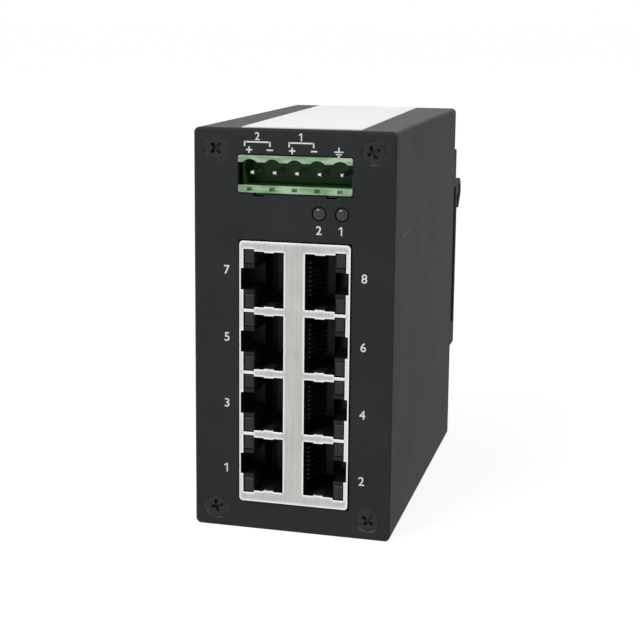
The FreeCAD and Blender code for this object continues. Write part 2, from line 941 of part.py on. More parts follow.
def status_light_legs():
    """Wire legs from the two indicators to the power board."""
    y = (lens_y[1], power_y[1] + pin_tail / 2)
    return Part.makeCompound([
        block(around(x, leg_side), y, around(status_z, leg_side)) for x in leg_places()
    ])


def light_spacer():
    """Moulded block that holds both indicators off the power board, with a hole for each leg."""
    y = (lens_y[1], power_y[0])
    x = (status_x[0] - spacer_reach, status_x[1] + spacer_reach)
    body = block(x, y, around(status_z, spacer_height))
    return body.cut([block(around(x, leg_side), y, around(status_z, leg_side)) for x in leg_places()])


def on_board(height, y, length, z, width):
    """Ranges of a piece that lies on the main board, by its middle's place along Y and Z."""
    return (board_x[1], board_x[1] + height), around(y, length), around(z, width)


def package(x, y, z):
    """A moulded package whose sides draw in towards its top."""
    body = block(x, y, z)
    rim = [e for e in body.Edges if abs(e.CenterOfMass.x - x[1]) < 1e-6]
    return body.makeChamfer(package_draft, rim)


def switch_chip():
    x, y, z = on_board(chip_height, chip_y, chip_side, board_z[0] + chip_rise, chip_side)
    return package((x[0] + chip_lift, x[1] + chip_lift), y, z)


def switch_chip_leads():
    """Rows of flat leads on the four sides of the switch chip."""
    x, y, z = on_board(2 * chip_lead_thickness, chip_y, chip_side, board_z[0] + chip_rise, chip_side)
    leads = []
    for i in range(chip_leads):
        offset = chip_lead_pitch * (i - (chip_leads - 1) / 2)
        across_z = around(sum(z) / 2 + offset, chip_lead_width)
        across_y = around(sum(y) / 2 + offset, chip_lead_width)
        leads.append(block(x, (y[0] - chip_lead_reach, y[0]), across_z))
        leads.append(block(x, (y[1], y[1] + chip_lead_reach), across_z))
        leads.append(block(x, across_y, (z[0] - chip_lead_reach, z[0])))
        leads.append(block(x, across_y, (z[1], z[1] + chip_lead_reach)))
    return Part.makeCompound(leads)


def memory_chip():
    return package(*on_board(memory_height, chip_y, memory_length, board_z[0] + memory_rise, memory_width))


def clock_crystal():
    """Metal can with chamfered corners."""
    can = block(*on_board(crystal_height, chip_y, crystal_length, board_z[0] + crystal_rise, crystal_width))
    return can.makeChamfer(crystal_chamfer, straight_edges(can, point(1, 0, 0)))


def capacitor(drop):
    """Round can that stands on the main board."""
    x = (board_x[1], board_x[1] + capacitor_height)
    return rod_x(capacitor_radius, x, board_y[1] - capacitor_from_rear, board_z[1] - drop)


def power_inductor():
    """Square shielded inductor with chamfered corners."""
    y = board_y[1] - inductor_from_rear
    body = block(*on_board(inductor_height, y, inductor_side, board_z[1] - inductor_drop, inductor_side))
    return body.makeChamfer(inductor_chamfer, straight_edges(body, point(1, 0, 0)))


def voltage_regulator():
    y = power_y[1] + regulator_behind
    z = board_z[1] - regulator_drop
    return package(*on_board(regulator_height, y, regulator_width, z, regulator_length))


def input_fuse():
    y = power_y[1] + fuse_behind
    return package(*on_board(fuse_height, y, fuse_length, board_z[1] - fuse_drop, fuse_width))


def surge_diodes():
    """Two surge absorbers one above the other, behind the power board."""
    y = power_y[1] + surge_behind
    diodes = []
    for drop in surge_drops:
        diodes.append(package(*on_board(surge_height, y, surge_width, board_z[1] - drop, surge_length)))
    return Part.makeCompound(diodes)


def build():
    """Every piece by its name."""
    parts = {
        "case_sleeve": case_sleeve(),
        "front_panel": front_panel(),
        "rear_panel": rear_panel(),
        "front_screws": corner_screws(front, 1),
        "rear_screws": corner_screws(rear, -1),
        "top_label": top_label(),
        "rail_bracket": rail_bracket(),
        "bracket_screws": bracket_screws(),
        "rail_latch": rail_latch(),
        "latch_springs": latch_springs(),
        "jack_shield": jack_shield(),
        "jack_housing": jack_housing(),
        "power_header": power_header(),
        "power_pins": power_pins(),
        "main_board": main_board(),
        "power_board": power_board(),
        "link_strip": link_strip(),
        "link_pins": link_pins(),
        "status_light_1": status_light(status_x[0]),
        "status_light_2": status_light(status_x[1]),
        "status_light_legs": status_light_legs(),
        "light_spacer": light_spacer(),
        "switch_chip": switch_chip(),
        "switch_chip_leads": switch_chip_leads(),
        "memory_chip": memory_chip(),
        "clock_crystal": clock_crystal(),
        "input_capacitor": capacitor(input_capacitor_drop),
        "output_capacitor": capacitor(output_capacitor_drop),
        "power_inductor": power_inductor(),
        "voltage_regulator": voltage_regulator(),
        "input_fuse": input_fuse(),
        "surge_diodes": surge_diodes(),
    }
    for number, side, z in port_sides():
        parts["port_lights_" + str(number)] = port_lights(side, z)
        parts["port_contacts_" + str(number)] = port_contacts(side, z)
    return parts


os.makedirs("parts", exist_ok=True)
for name, shape in build().items():
    shape.exportStep("parts/" + name + ".step")
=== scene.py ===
import math

import bmesh
import bpy
from mathutils import Matrix, Vector


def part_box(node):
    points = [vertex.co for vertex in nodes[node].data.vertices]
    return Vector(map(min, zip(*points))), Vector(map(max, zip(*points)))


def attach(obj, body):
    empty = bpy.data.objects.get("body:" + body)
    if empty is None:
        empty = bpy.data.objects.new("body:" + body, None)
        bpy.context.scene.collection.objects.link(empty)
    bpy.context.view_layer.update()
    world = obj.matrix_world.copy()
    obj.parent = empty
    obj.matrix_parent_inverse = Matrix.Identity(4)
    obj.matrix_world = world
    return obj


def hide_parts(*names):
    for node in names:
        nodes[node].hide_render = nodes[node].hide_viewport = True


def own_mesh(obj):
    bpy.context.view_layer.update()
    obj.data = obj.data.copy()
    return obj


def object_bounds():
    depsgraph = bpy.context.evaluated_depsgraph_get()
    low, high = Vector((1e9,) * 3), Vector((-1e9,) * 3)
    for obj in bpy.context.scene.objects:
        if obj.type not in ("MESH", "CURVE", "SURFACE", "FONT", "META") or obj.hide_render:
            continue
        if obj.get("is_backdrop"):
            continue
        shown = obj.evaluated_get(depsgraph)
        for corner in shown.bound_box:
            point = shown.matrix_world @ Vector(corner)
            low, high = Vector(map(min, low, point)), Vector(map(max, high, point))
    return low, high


# Network switch for a 35 mm mounting rail: a black coated case with eight stacked sockets, a green
# power header, two status lights and a sprung rail clip. Metres; the front faces -Y and +Z is up.

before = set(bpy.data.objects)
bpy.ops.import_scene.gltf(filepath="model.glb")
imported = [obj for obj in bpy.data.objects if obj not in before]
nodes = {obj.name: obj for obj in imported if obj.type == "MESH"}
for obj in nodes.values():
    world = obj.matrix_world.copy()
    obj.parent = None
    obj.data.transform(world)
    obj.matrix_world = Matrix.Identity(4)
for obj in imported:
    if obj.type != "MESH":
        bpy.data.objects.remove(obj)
cad_low, cad_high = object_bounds()
MM = 0.001


# Camera. It stands to the right of the front and a little above it, close enough for the depth to
# taper, as in the photograph, which was cropped a little off its optical centre.
def add_object(name, data):
    """Puts a mesh, a lamp or a camera in the scene."""
    added = bpy.data.objects.new(name, data)
    bpy.context.scene.collection.objects.link(added)
    return added


camera_turn = math.radians(14.814)
camera_tilt = math.radians(9.907)
camera_roll = math.radians(0.406)
camera_place = Vector((75.81, -372.83, 64.48)) * MM
camera_data = bpy.data.cameras.new("camera")
camera_data.sensor_width = 36.0
camera_data.lens = 77.535
camera_data.shift_x = 0.0367
camera_data.shift_y = -0.093
camera_data.clip_start = 0.01
camera = add_object("camera", camera_data)
camera.matrix_world = (
    Matrix.Translation(camera_place)
    @ Matrix.Rotation(camera_turn, 4, "Z")
    @ Matrix.Rotation(math.radians(90) - camera_tilt, 4, "X")
    @ Matrix.Rotation(camera_roll, 4, "Z")
)
bpy.context.scene.camera = camera
bpy.context.scene.view_settings.view_transform = "Standard"


# Floor and backdrop. A sheet of white paper takes the object's soft shadow, and a pale room lights
# it evenly. Both are white where the camera sees them, straight, in a gloss or through clear plastic.
def finished_mesh(form, name):
    """Turns a worked form into a mesh."""
    mesh = bpy.data.meshes.new(name)
    form.to_mesh(mesh)
    form.free()
    return mesh


def add_step(tree, kind, feeds, **settings):
    """A new node with its settings made and its inputs fed by plain values or by other nodes."""
    step = tree.nodes.new(kind)
    for setting, value in settings.items():
        setattr(step, setting, value)
    for socket, value in feeds.items():
        if isinstance(value, bpy.types.NodeSocket):
            tree.links.new(value, step.inputs[socket])
        else:
            step.inputs[socket].default_value = value
    return step


def calculate(tree, operation, *values):
    """The result of a Math node on numbers or on other nodes' outputs."""
    return add_step(tree, "ShaderNodeMath", dict(enumerate(values)), operation=operation).outputs[0]


def show_white(tree, output, lighting, white):
    """Rays that light things meet one shader, and those that show the background meet the white one."""
    rays = tree.nodes.new("ShaderNodeLightPath").outputs
    straight = calculate(tree, "MAXIMUM", rays["Is Camera Ray"], rays["Is Transmission Ray"])
    showing = calculate(tree, "MAXIMUM", straight, rays["Is Glossy Ray"])
    mixed = add_step(tree, "ShaderNodeMixShader", {0: showing, 1: lighting.outputs[0], 2: white.outputs[0]})
    add_step(tree, output, {"Surface": mixed.outputs[0]})


floor_reach = 40.0
floor_gap = 0.02 * MM
floor_form = bmesh.new()
bmesh.ops.create_grid(floor_form, x_segments=1, y_segments=1, size=floor_reach)
bmesh.ops.translate(floor_form, vec=(0.0, 0.0, cad_low.z - floor_gap), verts=floor_form.verts)
floor = add_object("floor", finished_mesh(floor_form, "floor"))
floor_paper = bpy.data.materials.new("floor_paper")
floor_paper.use_nodes = True
paper_tree = floor_paper.node_tree
paper_tree.nodes.clear()
paper_plain = add_step(paper_tree, "ShaderNodeBsdfDiffuse", {"Color": (0.8, 0.8, 0.8, 1.0)})
# Where it shows, the paper glows almost white, and its own colour adds the rest and the shadow.
paper_shade = add_step(paper_tree, "ShaderNodeBsdfDiffuse", {"Color": (0.28, 0.28, 0.28, 1.0)})
paper_glow = add_step(paper_tree, "ShaderNodeEmission", {"Strength": 0.86})
paper_white = add_step(
    paper_tree, "ShaderNodeAddShader", {0: paper_shade.outputs[0], 1: paper_glow.outputs[0]}
)
show_white(paper_tree, "ShaderNodeOutputMaterial", paper_plain, paper_white)
floor.data.materials.append(floor_paper)
floor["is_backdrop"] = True

room = bpy.data.worlds.new("room")
room.use_nodes = True
bpy.context.scene.world = room
room_tree = room.node_tree
room_tree.nodes.clear()
room_fill = add_step(
    room_tree, "ShaderNodeBackground", {"Color": (0.97, 0.985, 1.0, 1.0), "Strength": 0.5}
)
room_white = add_step(
    room_tree, "ShaderNodeBackground", {"Color": (1.0, 1.0, 1.0, 1.0), "Strength": 1.0}
)
show_white(room_tree, "ShaderNodeOutputWorld", room_fill, room_white)


# Lamps. A soft box stands above and to the left of the front, and a far weaker one to the right,
# so that the front, the top and the right flank each keep their own tone.
lamp_aim = Vector((0.0, -0.05, 0.0))


def soft_box(name, place, size, power):
    """A rectangular lamp that faces the case."""
    light = bpy.data.lights.new(name, "AREA")
    light.shape = "RECTANGLE"
    light.size, light.size_y = size
    light.energy = power
    lamp = add_object(name, light)
    lamp.location = place
    lamp.rotation_euler = (lamp_aim - Vector(place)).to_track_quat("-Z", "Y").to_euler()


soft_box("key_box", place=(-0.35, -0.55, 0.65), size=(0.5, 0.4), power=4.3)
soft_box("side_box", place=(0.75, -0.3, 0.3), size=(0.4, 0.5), power=0.25)


# Sleeve and end panels. An extruded sleeve and two plates under a matt black powder coat with an
# orange-peel grain and edges painted lighter in patches, as wear and as a painted highlight. The
# screw seats carry a painted highlight, dust and painted light lie on the sleeve's top, and one
# lighter line runs along its right flank.
worn_and_highlit_edge_coat = (0.055, 0.055, 0.057)
grit_share = 0.35
screw_head = 2.7 * MM
seat_radius = 2.8 * MM
seat_edge = 0.1 * MM
seat_highlight_color = (0.07, 0.07, 0.07)
dust_and_top_light_color = (0.106, 0.099, 0.093)
flank_line_color = (0.07, 0.068, 0.066)


def new_finish(name, color, roughness, metallic=0.0):
    """A material with one Principled shader, and the handles needed to build on it."""
    material = bpy.data.materials.new(name)
    material.use_nodes = True
    tree = material.node_tree
    shader = tree.nodes["Principled BSDF"]
    shader.inputs["Base Color"].default_value = (*color, 1.0)
    shader.inputs["Roughness"].default_value = roughness
    shader.inputs["Metallic"].default_value = metallic
    place = tree.nodes.new("ShaderNodeTexCoord").outputs["Object"]
    return material, tree, shader, place


def noise(tree, place, size, detail=3.0, stretch=(1.0, 1.0, 1.0)):
    """Noise whose lumps are about size metres across, longer along an axis whose stretch is over 1."""
    scale = [1.0 / (size * longer) for longer in stretch]
    scaled = add_step(tree, "ShaderNodeMapping", {"Vector": place, "Scale": scale})
    texture = add_step(
        tree, "ShaderNodeTexNoise", {"Vector": scaled.outputs[0], "Scale": 1.0, "Detail": detail}
    )
    return texture.outputs["Fac"]


def spread(tree, value, low=0.0, high=1.0, start=0.35, end=0.65):
    """Turns a value from start to end into one from low to high. Noise lies mostly in 0.35 to 0.65."""
    ranged = add_step(tree, "ShaderNodeMapRange", {
        "Value": value, "From Min": start, "From Max": end, "To Min": low, "To Max": high,
    })
    return ranged.outputs["Result"]


def blend_colors(tree, factor, first, second):
    """A colour between first and second; either may be a colour or another node's output."""
    ends = [c if isinstance(c, bpy.types.NodeSocket) else (*c, 1.0) for c in (first, second)]
    # The Mix node keeps its colours in inputs 6 and 7 and in output 2.
    mixed = add_step(tree, "ShaderNodeMix", {0: factor, 6: ends[0], 7: ends[1]}, data_type="RGBA")
    return mixed.outputs[2]


def calculate_vector(tree, operation, *values):
    """The result of a Vector Math node: a number for a length or a dot product, else a vector."""
    step = add_step(tree, "ShaderNodeVectorMath", dict(enumerate(values)), operation=operation)
    return step.outputs["Value" if operation in ("LENGTH", "DOT_PRODUCT") else "Vector"]


def soft_edges(tree, radius):
    """The surface's direction, rounded over edges as a moulding, a bend or a coat of paint is."""
    return add_step(tree, "ShaderNodeBevel", {"Radius": radius}, samples=4).outputs[0]


def sharp_edge_mask(tree, rounded, reach):
    """1 on a sharp edge and 0 on flat ground: how far the rounded direction leaves the true one."""
    facing = tree.nodes.new("ShaderNodeNewGeometry").outputs["True Normal"]
    likeness = calculate_vector(tree, "DOT_PRODUCT", rounded, facing)
    return spread(tree, likeness, 1.0, 0.0, start=1.0 - reach, end=1.0)


def raise_grain(tree, shader, height, depth, strength=1.0, normal=None):
    """Bumps the surface by a noise value, depth metres from lowest to highest."""
    feeds = {"Height": height, "Distance": depth, "Strength": strength}
    if normal is not None:
        feeds["Normal"] = normal
    tree.links.new(add_step(tree, "ShaderNodeBump", feeds).outputs[0], shader.inputs["Normal"])


def powder_coat(name, dark, pale):
    """Black powder coat: cloudy in tone, finely grained, and lighter along its edges in places, as wear and
    as a painted highlight.
    """
    material, tree, shader, place = new_finish(name, dark, 0.5)
    shader.inputs["Specular IOR Level"].default_value = 0.3
    cloud = noise(tree, place, size=14 * MM, detail=4.0)
    peel = noise(tree, place, size=0.55 * MM, detail=2.0)
    grit = noise(tree, place, size=0.12 * MM, detail=1.0)
    body = blend_colors(tree, spread(tree, cloud), dark, pale)
    edges = soft_edges(tree, radius=0.45 * MM)
    # Lighter edges in patches: partly edge wear and partly a painted highlight.
    edge_patches = spread(tree, noise(tree, place, size=4 * MM, detail=4.0), start=0.4, end=0.7)
    edge_wear_and_highlight = calculate(tree, "MULTIPLY", sharp_edge_mask(tree, edges, reach=0.25), edge_patches)
    color = blend_colors(tree, edge_wear_and_highlight, body, worn_and_highlit_edge_coat)
    tree.links.new(color, shader.inputs["Base Color"])
    tree.links.new(spread(tree, grit, 0.7, 0.84), shader.inputs["Roughness"])
    height = calculate(tree, "MULTIPLY_ADD", grit, grit_share, peel)
    raise_grain(tree, shader, height, depth=0.035 * MM, strength=0.6, normal=edges)
    return material, tree, shader, place, color


def screw_seats(tree, place):
    """1 inside a panel's four screw seats and 0 outside; they mirror about the panel's middle."""
    low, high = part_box("front_screws")
    axes = add_step(tree, "ShaderNodeSeparateXYZ", {0: place}).outputs
    from_seat = {}
    for axis, near, far in (("X", low.x, high.x), ("Z", low.z, high.z)):
        from_middle = calculate(tree, "SUBTRACT", axes[axis], (near + far) / 2)
        folded = calculate(tree, "ABSOLUTE", from_middle)
        from_seat[axis] = calculate(tree, "SUBTRACT", folded, (far - near) / 2 - screw_head)
    offset = add_step(tree, "ShaderNodeCombineXYZ", from_seat).outputs[0]
    distance = calculate_vector(tree, "LENGTH", offset)
    return spread(tree, distance, 1.0, 0.0, start=seat_radius - seat_edge, end=seat_radius)


def cover(node, material):
    """Gives a CAD node its finish."""
    mesh = nodes[node].data
    mesh.materials.clear()
    mesh.materials.append(material)
    for face in mesh.polygons:
        face.material_index = 0


coat, coat_tree, coat_shader, coat_place, coat_color = powder_coat(
    "black_coat", (0.0105, 0.0112, 0.012), (0.0145, 0.0152, 0.016)
)
# Painted highlight: the screw seats are painted lighter than the coat, in patches.
seat_highlight_patches = spread(coat_tree, noise(coat_tree, coat_place, size=2.2 * MM, detail=2.0), start=0.42, end=0.6)
seat_highlight_mask = calculate(coat_tree, "MULTIPLY", screw_seats(coat_tree, coat_place), seat_highlight_patches)
seat_highlit_coat = blend_colors(coat_tree, seat_highlight_mask, coat_color, seat_highlight_color)
coat_tree.links.new(seat_highlit_coat, coat_shader.inputs["Base Color"])
cover("front_panel", coat)
cover("rear_panel", coat)

flank_coat, flank_tree, flank_shader, flank_place, flank_color = powder_coat(
    "black_sleeve_coat", (0.0095, 0.0095, 0.01), (0.0195, 0.0188, 0.0196)
)
# Dust and painted light: faces that look up are painted lighter in patches, partly as dust and partly as
# light from above.
flank_normal = flank_tree.nodes.new("ShaderNodeNewGeometry").outputs["True Normal"]
upward = add_step(flank_tree, "ShaderNodeSeparateXYZ", {0: flank_normal}).outputs["Z"]
dust_and_light_patch = noise(flank_tree, flank_place, size=5 * MM, detail=4.0)
dust_and_top_light = calculate(
    flank_tree, "MULTIPLY",
    spread(flank_tree, upward, start=0.5, end=0.95),
    spread(flank_tree, dust_and_light_patch, 0.7, 1.0),
)
dusted_and_lit = blend_colors(flank_tree, dust_and_top_light, flank_color, dust_and_top_light_color)

# A lighter line on the right flank, which fades in and fades out along its length.
flank_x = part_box("case_sleeve")[1].x
flank_line_start = Vector((flank_x, -82.7 * MM, 18.0 * MM))
flank_line_end = Vector((flank_x, -65.5 * MM, 18.8 * MM))
flank_line_width = 0.35 * MM
flank_line_length = (flank_line_end - flank_line_start).length
flank_line_way = (flank_line_end - flank_line_start).normalized()
full_from = 0.2 * flank_line_length
fades_from = 0.5 * flank_line_length
from_start = calculate_vector(flank_tree, "SUBTRACT", flank_place, flank_line_start)
along = calculate_vector(flank_tree, "DOT_PRODUCT", from_start, flank_line_way)
beside = calculate_vector(flank_tree, "CROSS_PRODUCT", from_start, flank_line_way)
off_line = calculate_vector(flank_tree, "LENGTH", beside)
on_line = spread(flank_tree, off_line, 1.0, 0.0, start=0.0, end=flank_line_width)
begun = spread(flank_tree, along, start=0.0, end=full_from)
not_ended = spread(flank_tree, along, 1.0, 0.0, start=fades_from, end=flank_line_length)
flank_line = calculate(flank_tree, "MULTIPLY", calculate(flank_tree, "MULTIPLY", on_line, begun), not_ended)
flank_with_line = blend_colors(flank_tree, flank_line, dusted_and_lit, flank_line_color)
flank_tree.links.new(flank_with_line, flank_shader.inputs["Base Color"])
cover("case_sleeve", flank_coat)


# Legends on the front panel. Screen printed in white ink: a number at each socket and each light,
# numbered brackets over the two supplies, their polarity, and the earth sign.
ink_depth = 0.02 * MM
letter_swell = 0.012
thin_ink = (0.6, 0.6, 0.59)
full_ink = (0.8, 0.8, 0.79)
ink, ink_tree, ink_shader, ink_place = new_finish("white_ink", (0.72, 0.72, 0.71), 0.5)
ink_patch = spread(ink_tree, noise(ink_tree, ink_place, size=0.35 * MM), start=0.3, end=0.7)
ink_color = blend_colors(ink_tree, ink_patch, thin_ink, full_ink)
ink_tree.links.new(ink_color, ink_shader.inputs["Base Color"])
ink_grain = noise(ink_tree, ink_place, size=0.2 * MM)
raise_grain(ink_tree, ink_shader, ink_grain, depth=0.008 * MM, strength=0.5)
panel_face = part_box("front_panel")[0].y
legend_form = bmesh.new()


def settled_mesh(maker):
    """The plain mesh that lettering or an object with modifiers comes to. The object is removed."""
    bpy.context.view_layer.update()
    shape = maker.evaluated_get(bpy.context.evaluated_depsgraph_get())
    mesh = bpy.data.meshes.new_from_object(shape)
    bpy.data.objects.remove(maker)
    return mesh


def print_bar(x, z):
    """A printed bar that fills the spans x and z."""
    for vertex in bmesh.ops.create_cube(legend_form, size=1.0)["verts"]:
        vertex.co = (
            x[0] if vertex.co.x < 0 else x[1],
            panel_face - ink_depth if vertex.co.y < 0 else panel_face,
            z[0] if vertex.co.z < 0 else z[1],
        )


def print_one(x, z, height):
    """A figure one: an upright with a slanted stroke at its top left."""
    stem = 0.075 * height
    reach = 0.34 * height
    print_bar((x - stem, x + stem), (z - height / 2, z + height / 2))
    stroke = ((stem, 0.5 * height), (reach, 0.31 * height), (reach, 0.16 * height), (stem, 0.32 * height))
    front = [legend_form.verts.new((x - left, panel_face - ink_depth, z + up)) for left, up in stroke]
    back = [legend_form.verts.new((x - left, panel_face, z + up)) for left, up in stroke]
    legend_form.faces.new(front)
    legend_form.faces.new(back)
    for i in range(len(stroke)):
        legend_form.faces.new((front[i - 1], front[i], back[i], back[i - 1]))


def print_figure(text, x, z, height):
    """A figure centred on x and z of the panel's face, height metres tall."""
    if text == "1":
        print_one(x, z, height)
        return
    font = bpy.data.curves.new("legend", "FONT")
    font.body = text
    font.extrude = ink_depth / 2
    font.offset = letter_swell
    mesh = settled_mesh(add_object("legend", font))
    low = Vector([min(v.co[i] for v in mesh.vertices) for i in range(3)])
    high = Vector([max(v.co[i] for v in mesh.vertices) for i in range(3)])
    middle = (low + high) / 2
    scale = height / (high.y - low.y)
    for vertex in mesh.vertices:
        flat = vertex.co
        y = panel_face - ink_depth if flat.z > 0 else panel_face
        vertex.co = (x + (flat.x - middle.x) * scale, y, z + (flat.y - middle.y) * scale)
    legend_form.from_mesh(mesh)
    bpy.data.meshes.remove(mesh)


socket_rows = 4
figure_height = 2.0 * MM
figure_pitch = 15.05 * MM
odd_x, odd_z = -14.88 * MM, -34.66 * MM
even_x, even_z = 15.89 * MM, -35.1 * MM
for row in range(socket_rows):
    print_figure(str(2 * row + 1), odd_x, odd_z + figure_pitch * row, figure_height)
    print_figure(str(2 * row + 2), even_x, even_z + figure_pitch * row, figure_height)

line = 0.32 * MM
half_line = line / 2
supply_z = 38.62 * MM
supply_tick = 0.95 * MM
supply_figure_z = 39.87 * MM
supply_figure = 1.7 * MM
for number, start, end in (("2", -10.84 * MM, -5.2 * MM), ("1", -0.92 * MM, 4.46 * MM)):
    print_bar((start, end), (supply_z - half_line, supply_z + half_line))
    for x in (start, end):
        print_bar((x - half_line, x + half_line), (supply_z - supply_tick, supply_z + half_line))
    print_figure(number, (start + end) / 2, supply_figure_z, supply_figure)

sign_z = 36.92 * MM
sign_reach = 0.7 * MM
for x, crossed in ((-9.83 * MM, True), (-5.2 * MM, False), (-0.26 * MM, True), (4.56 * MM, False)):
    print_bar((x - sign_reach, x + sign_reach), (sign_z - half_line, sign_z + half_line))
    if crossed:
        print_bar((x - half_line, x + half_line), (sign_z - sign_reach, sign_z - half_line))
        print_bar((x - half_line, x + half_line), (sign_z + half_line, sign_z + sign_reach))

earth_x = 9.98 * MM
earth_top = 37.9 * MM
earth_foot = 37.1 * MM
earth_line = 0.26 * MM
earth_pitch = 0.5 * MM
print_bar((earth_x - half_line, earth_x + half_line), (earth_foot, earth_top))
for step, reach in enumerate((1.0 * MM, 0.65 * MM, 0.3 * MM)):
    top = earth_foot - earth_pitch * step
    print_bar((earth_x - reach, earth_x + reach), (top - earth_line, top))

light_figure_z = 20.04 * MM
light_figure = 1.9 * MM
for number, x in (("2", 5.76 * MM), ("1", 10.77 * MM)):
    print_figure(number, x, light_figure_z, light_figure)

bmesh.ops.remove_doubles(legend_form, verts=legend_form.verts, dist=1e-7)
bmesh.ops.recalc_face_normals(legend_form, faces=legend_form.faces)
legend_mesh = finished_mesh(legend_form, "panel_legends")
legend_mesh.materials.append(ink)
legends = add_object("panel_legends", legend_mesh)
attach(legends, "case")


# Countersunk screws. Black oxide steel with a cross recess, four in each panel and two in the
# bracket, each left at its own angle by the driver.
screw_shank = 1.45 * MM
screw_cone = 1.25 * MM
screw_length = 8.0 * MM
screw_rim = 0.12 * MM
screw_sink = 0.15 * MM
screw_break = 0.03 * MM
screw_steps = 48
recess_reach = 1.75 * MM
recess_half = 0.42 * MM
recess_depth = 1.15 * MM
recess_over = 0.2 * MM
reach_at_foot = 0.5
width_at_foot = 0.75


def turned_form(profile, steps):
    """A closed solid turned about Y from (radius, y) pairs that start and end on the axis."""
    form = bmesh.new()
    rings = []
    for radius, y in profile:
        if radius == 0:
            rings.append([form.verts.new((0.0, y, 0.0))] * steps)
            continue
        angles = [math.tau * i / steps for i in range(steps)]
        rings.append([form.verts.new((radius * math.cos(a), y, radius * math.sin(a))) for a in angles])
    for near, far in zip(rings, rings[1:]):
        for i in range(steps):
            corners = [near[i], near[(i + 1) % steps], far[(i + 1) % steps], far[i]]
            corners = list(dict.fromkeys(corners))
            if len(corners) > 2:
                form.faces.new(corners)
    bmesh.ops.recalc_face_normals(form, faces=form.faces)
    return form


def smooth_by_angle(mesh, degrees):
    """Smooth shading, kept sharp where faces meet at more than the angle."""
    form = bmesh.new()
    form.from_mesh(mesh)
    for face in form.faces:
        face.smooth = True
    for edge in form.edges:
        if len(edge.link_faces) == 2:
            edge.smooth = edge.calc_face_angle(0.0) < math.radians(degrees)
    form.to_mesh(mesh)
    form.free()


screw_form = turned_form([
    (0.0, screw_sink),
    (screw_head - screw_sink - 2 * screw_rim, screw_sink),
    (screw_head - screw_sink - screw_rim, screw_sink + screw_break),
    (screw_head - screw_sink - screw_rim, screw_sink + screw_rim),
    (screw_shank, screw_cone),
    (screw_shank, screw_length),
    (0.0, screw_length),
], screw_steps)
screw_blank = add_object("screw_blank", finished_mesh(screw_form, "screw_blank"))

driver_form = bmesh.new()
for turn in (0, 90):
    wings = bmesh.ops.create_cube(driver_form, size=1.0)["verts"]
    for vertex in wings:
        deep = vertex.co.y > 0
        vertex.co = (
            math.copysign(recess_reach * (reach_at_foot if deep else 1.0), vertex.co.x),
            recess_depth if deep else -recess_over,
            math.copysign(recess_half * (width_at_foot if deep else 1.0), vertex.co.z),
        )
    quarter = Matrix.Rotation(math.radians(turn), 3, "Y")
    bmesh.ops.rotate(driver_form, verts=wings, cent=(0, 0, 0), matrix=quarter)
bmesh.ops.recalc_face_normals(driver_form, faces=driver_form.faces)
driver_tip = add_object("driver_tip", finished_mesh(driver_form, "driver_tip"))
recess_cut = screw_blank.modifiers.new("cross", "BOOLEAN")
recess_cut.object = driver_tip
recess_cut.operation = "DIFFERENCE"
recess_cut.solver = "EXACT"
recess_cut.use_self = True
screw_mesh = settled_mesh(screw_blank)
bpy.data.objects.remove(driver_tip)
smooth_by_angle(screw_mesh, degrees=35)
cross_screw = add_object("cross_screw", screw_mesh)

flat_oxide = (0.016, 0.016, 0.017)
worn_oxide = (0.075, 0.075, 0.078)
oxide, oxide_tree, oxide_shader, oxide_place = new_finish(
    "black_oxide", (0.02, 0.02, 0.021), 0.35, metallic=0.55
)
oxide_edges = soft_edges(oxide_tree, radius=0.12 * MM)
oxide_worn = sharp_edge_mask(oxide_tree, oxide_edges, reach=0.3)
oxide_color = blend_colors(oxide_tree, oxide_worn, flat_oxide, worn_oxide)
oxide_tree.links.new(oxide_color, oxide_shader.inputs["Base Color"])
oxide_patch = noise(oxide_tree, oxide_place, size=0.3 * MM)
oxide_tree.links.new(spread(oxide_tree, oxide_patch, 0.3, 0.46), oxide_shader.inputs["Roughness"])
oxide_grain = noise(oxide_tree, oxide_place, size=0.25 * MM)
raise_grain(oxide_tree, oxide_shader, oxide_grain, depth=0.012 * MM, strength=0.5, normal=oxide_edges)


def open_ports(tree, inputs, output):
    """Names a node tree's inputs and its one output, and returns each input's identifier."""
    ports = {}
    for label, kind in inputs.items():
        port = tree.interface.new_socket(label, in_out="INPUT", socket_type="NodeSocket" + kind)
        ports[label] = port.identifier
    tree.interface.new_socket(output, in_out="OUTPUT", socket_type="NodeSocketGeometry")
    return ports


# The row of screws: one copy of the screw on every point, turned about its own axis by a seeded
# random angle, and turned to face out of the back where wanted.
row_tree = bpy.data.node_groups.new("screw_row", "GeometryNodeTree")
row_ports = open_ports(row_tree, {
    "Places": "Geometry", "Screw": "Object", "Faces back": "Bool", "Seed": "Int", "Finish": "Material",
}, "Screws")
row_in = row_tree.nodes.new("NodeGroupInput").outputs
row_screw = add_step(row_tree, "GeometryNodeObjectInfo", {"Object": row_in["Screw"]})
# The random node keeps its number range in inputs 2 and 3 and its number in output 1.
row_turn = add_step(
    row_tree, "FunctionNodeRandomValue", {2: 0.0, 3: math.tau, "Seed": row_in["Seed"]}, data_type="FLOAT"
)
row_flip = calculate(row_tree, "MULTIPLY", row_in["Faces back"], math.pi)
row_axis = add_step(row_tree, "ShaderNodeCombineXYZ", {"Y": row_turn.outputs[1], "Z": row_flip})
row_copies = add_step(row_tree, "GeometryNodeInstanceOnPoints", {
    "Points": row_in["Places"],
    "Instance": row_screw.outputs["Geometry"],
    "Rotation": row_axis.outputs[0],
})
row_real = add_step(row_tree, "GeometryNodeRealizeInstances", {0: row_copies.outputs[0]})
row_coat = add_step(
    row_tree, "GeometryNodeSetMaterial", {"Geometry": row_real.outputs[0], "Material": row_in["Finish"]}
)
add_step(row_tree, "NodeGroupOutput", {0: row_coat.outputs[0]})


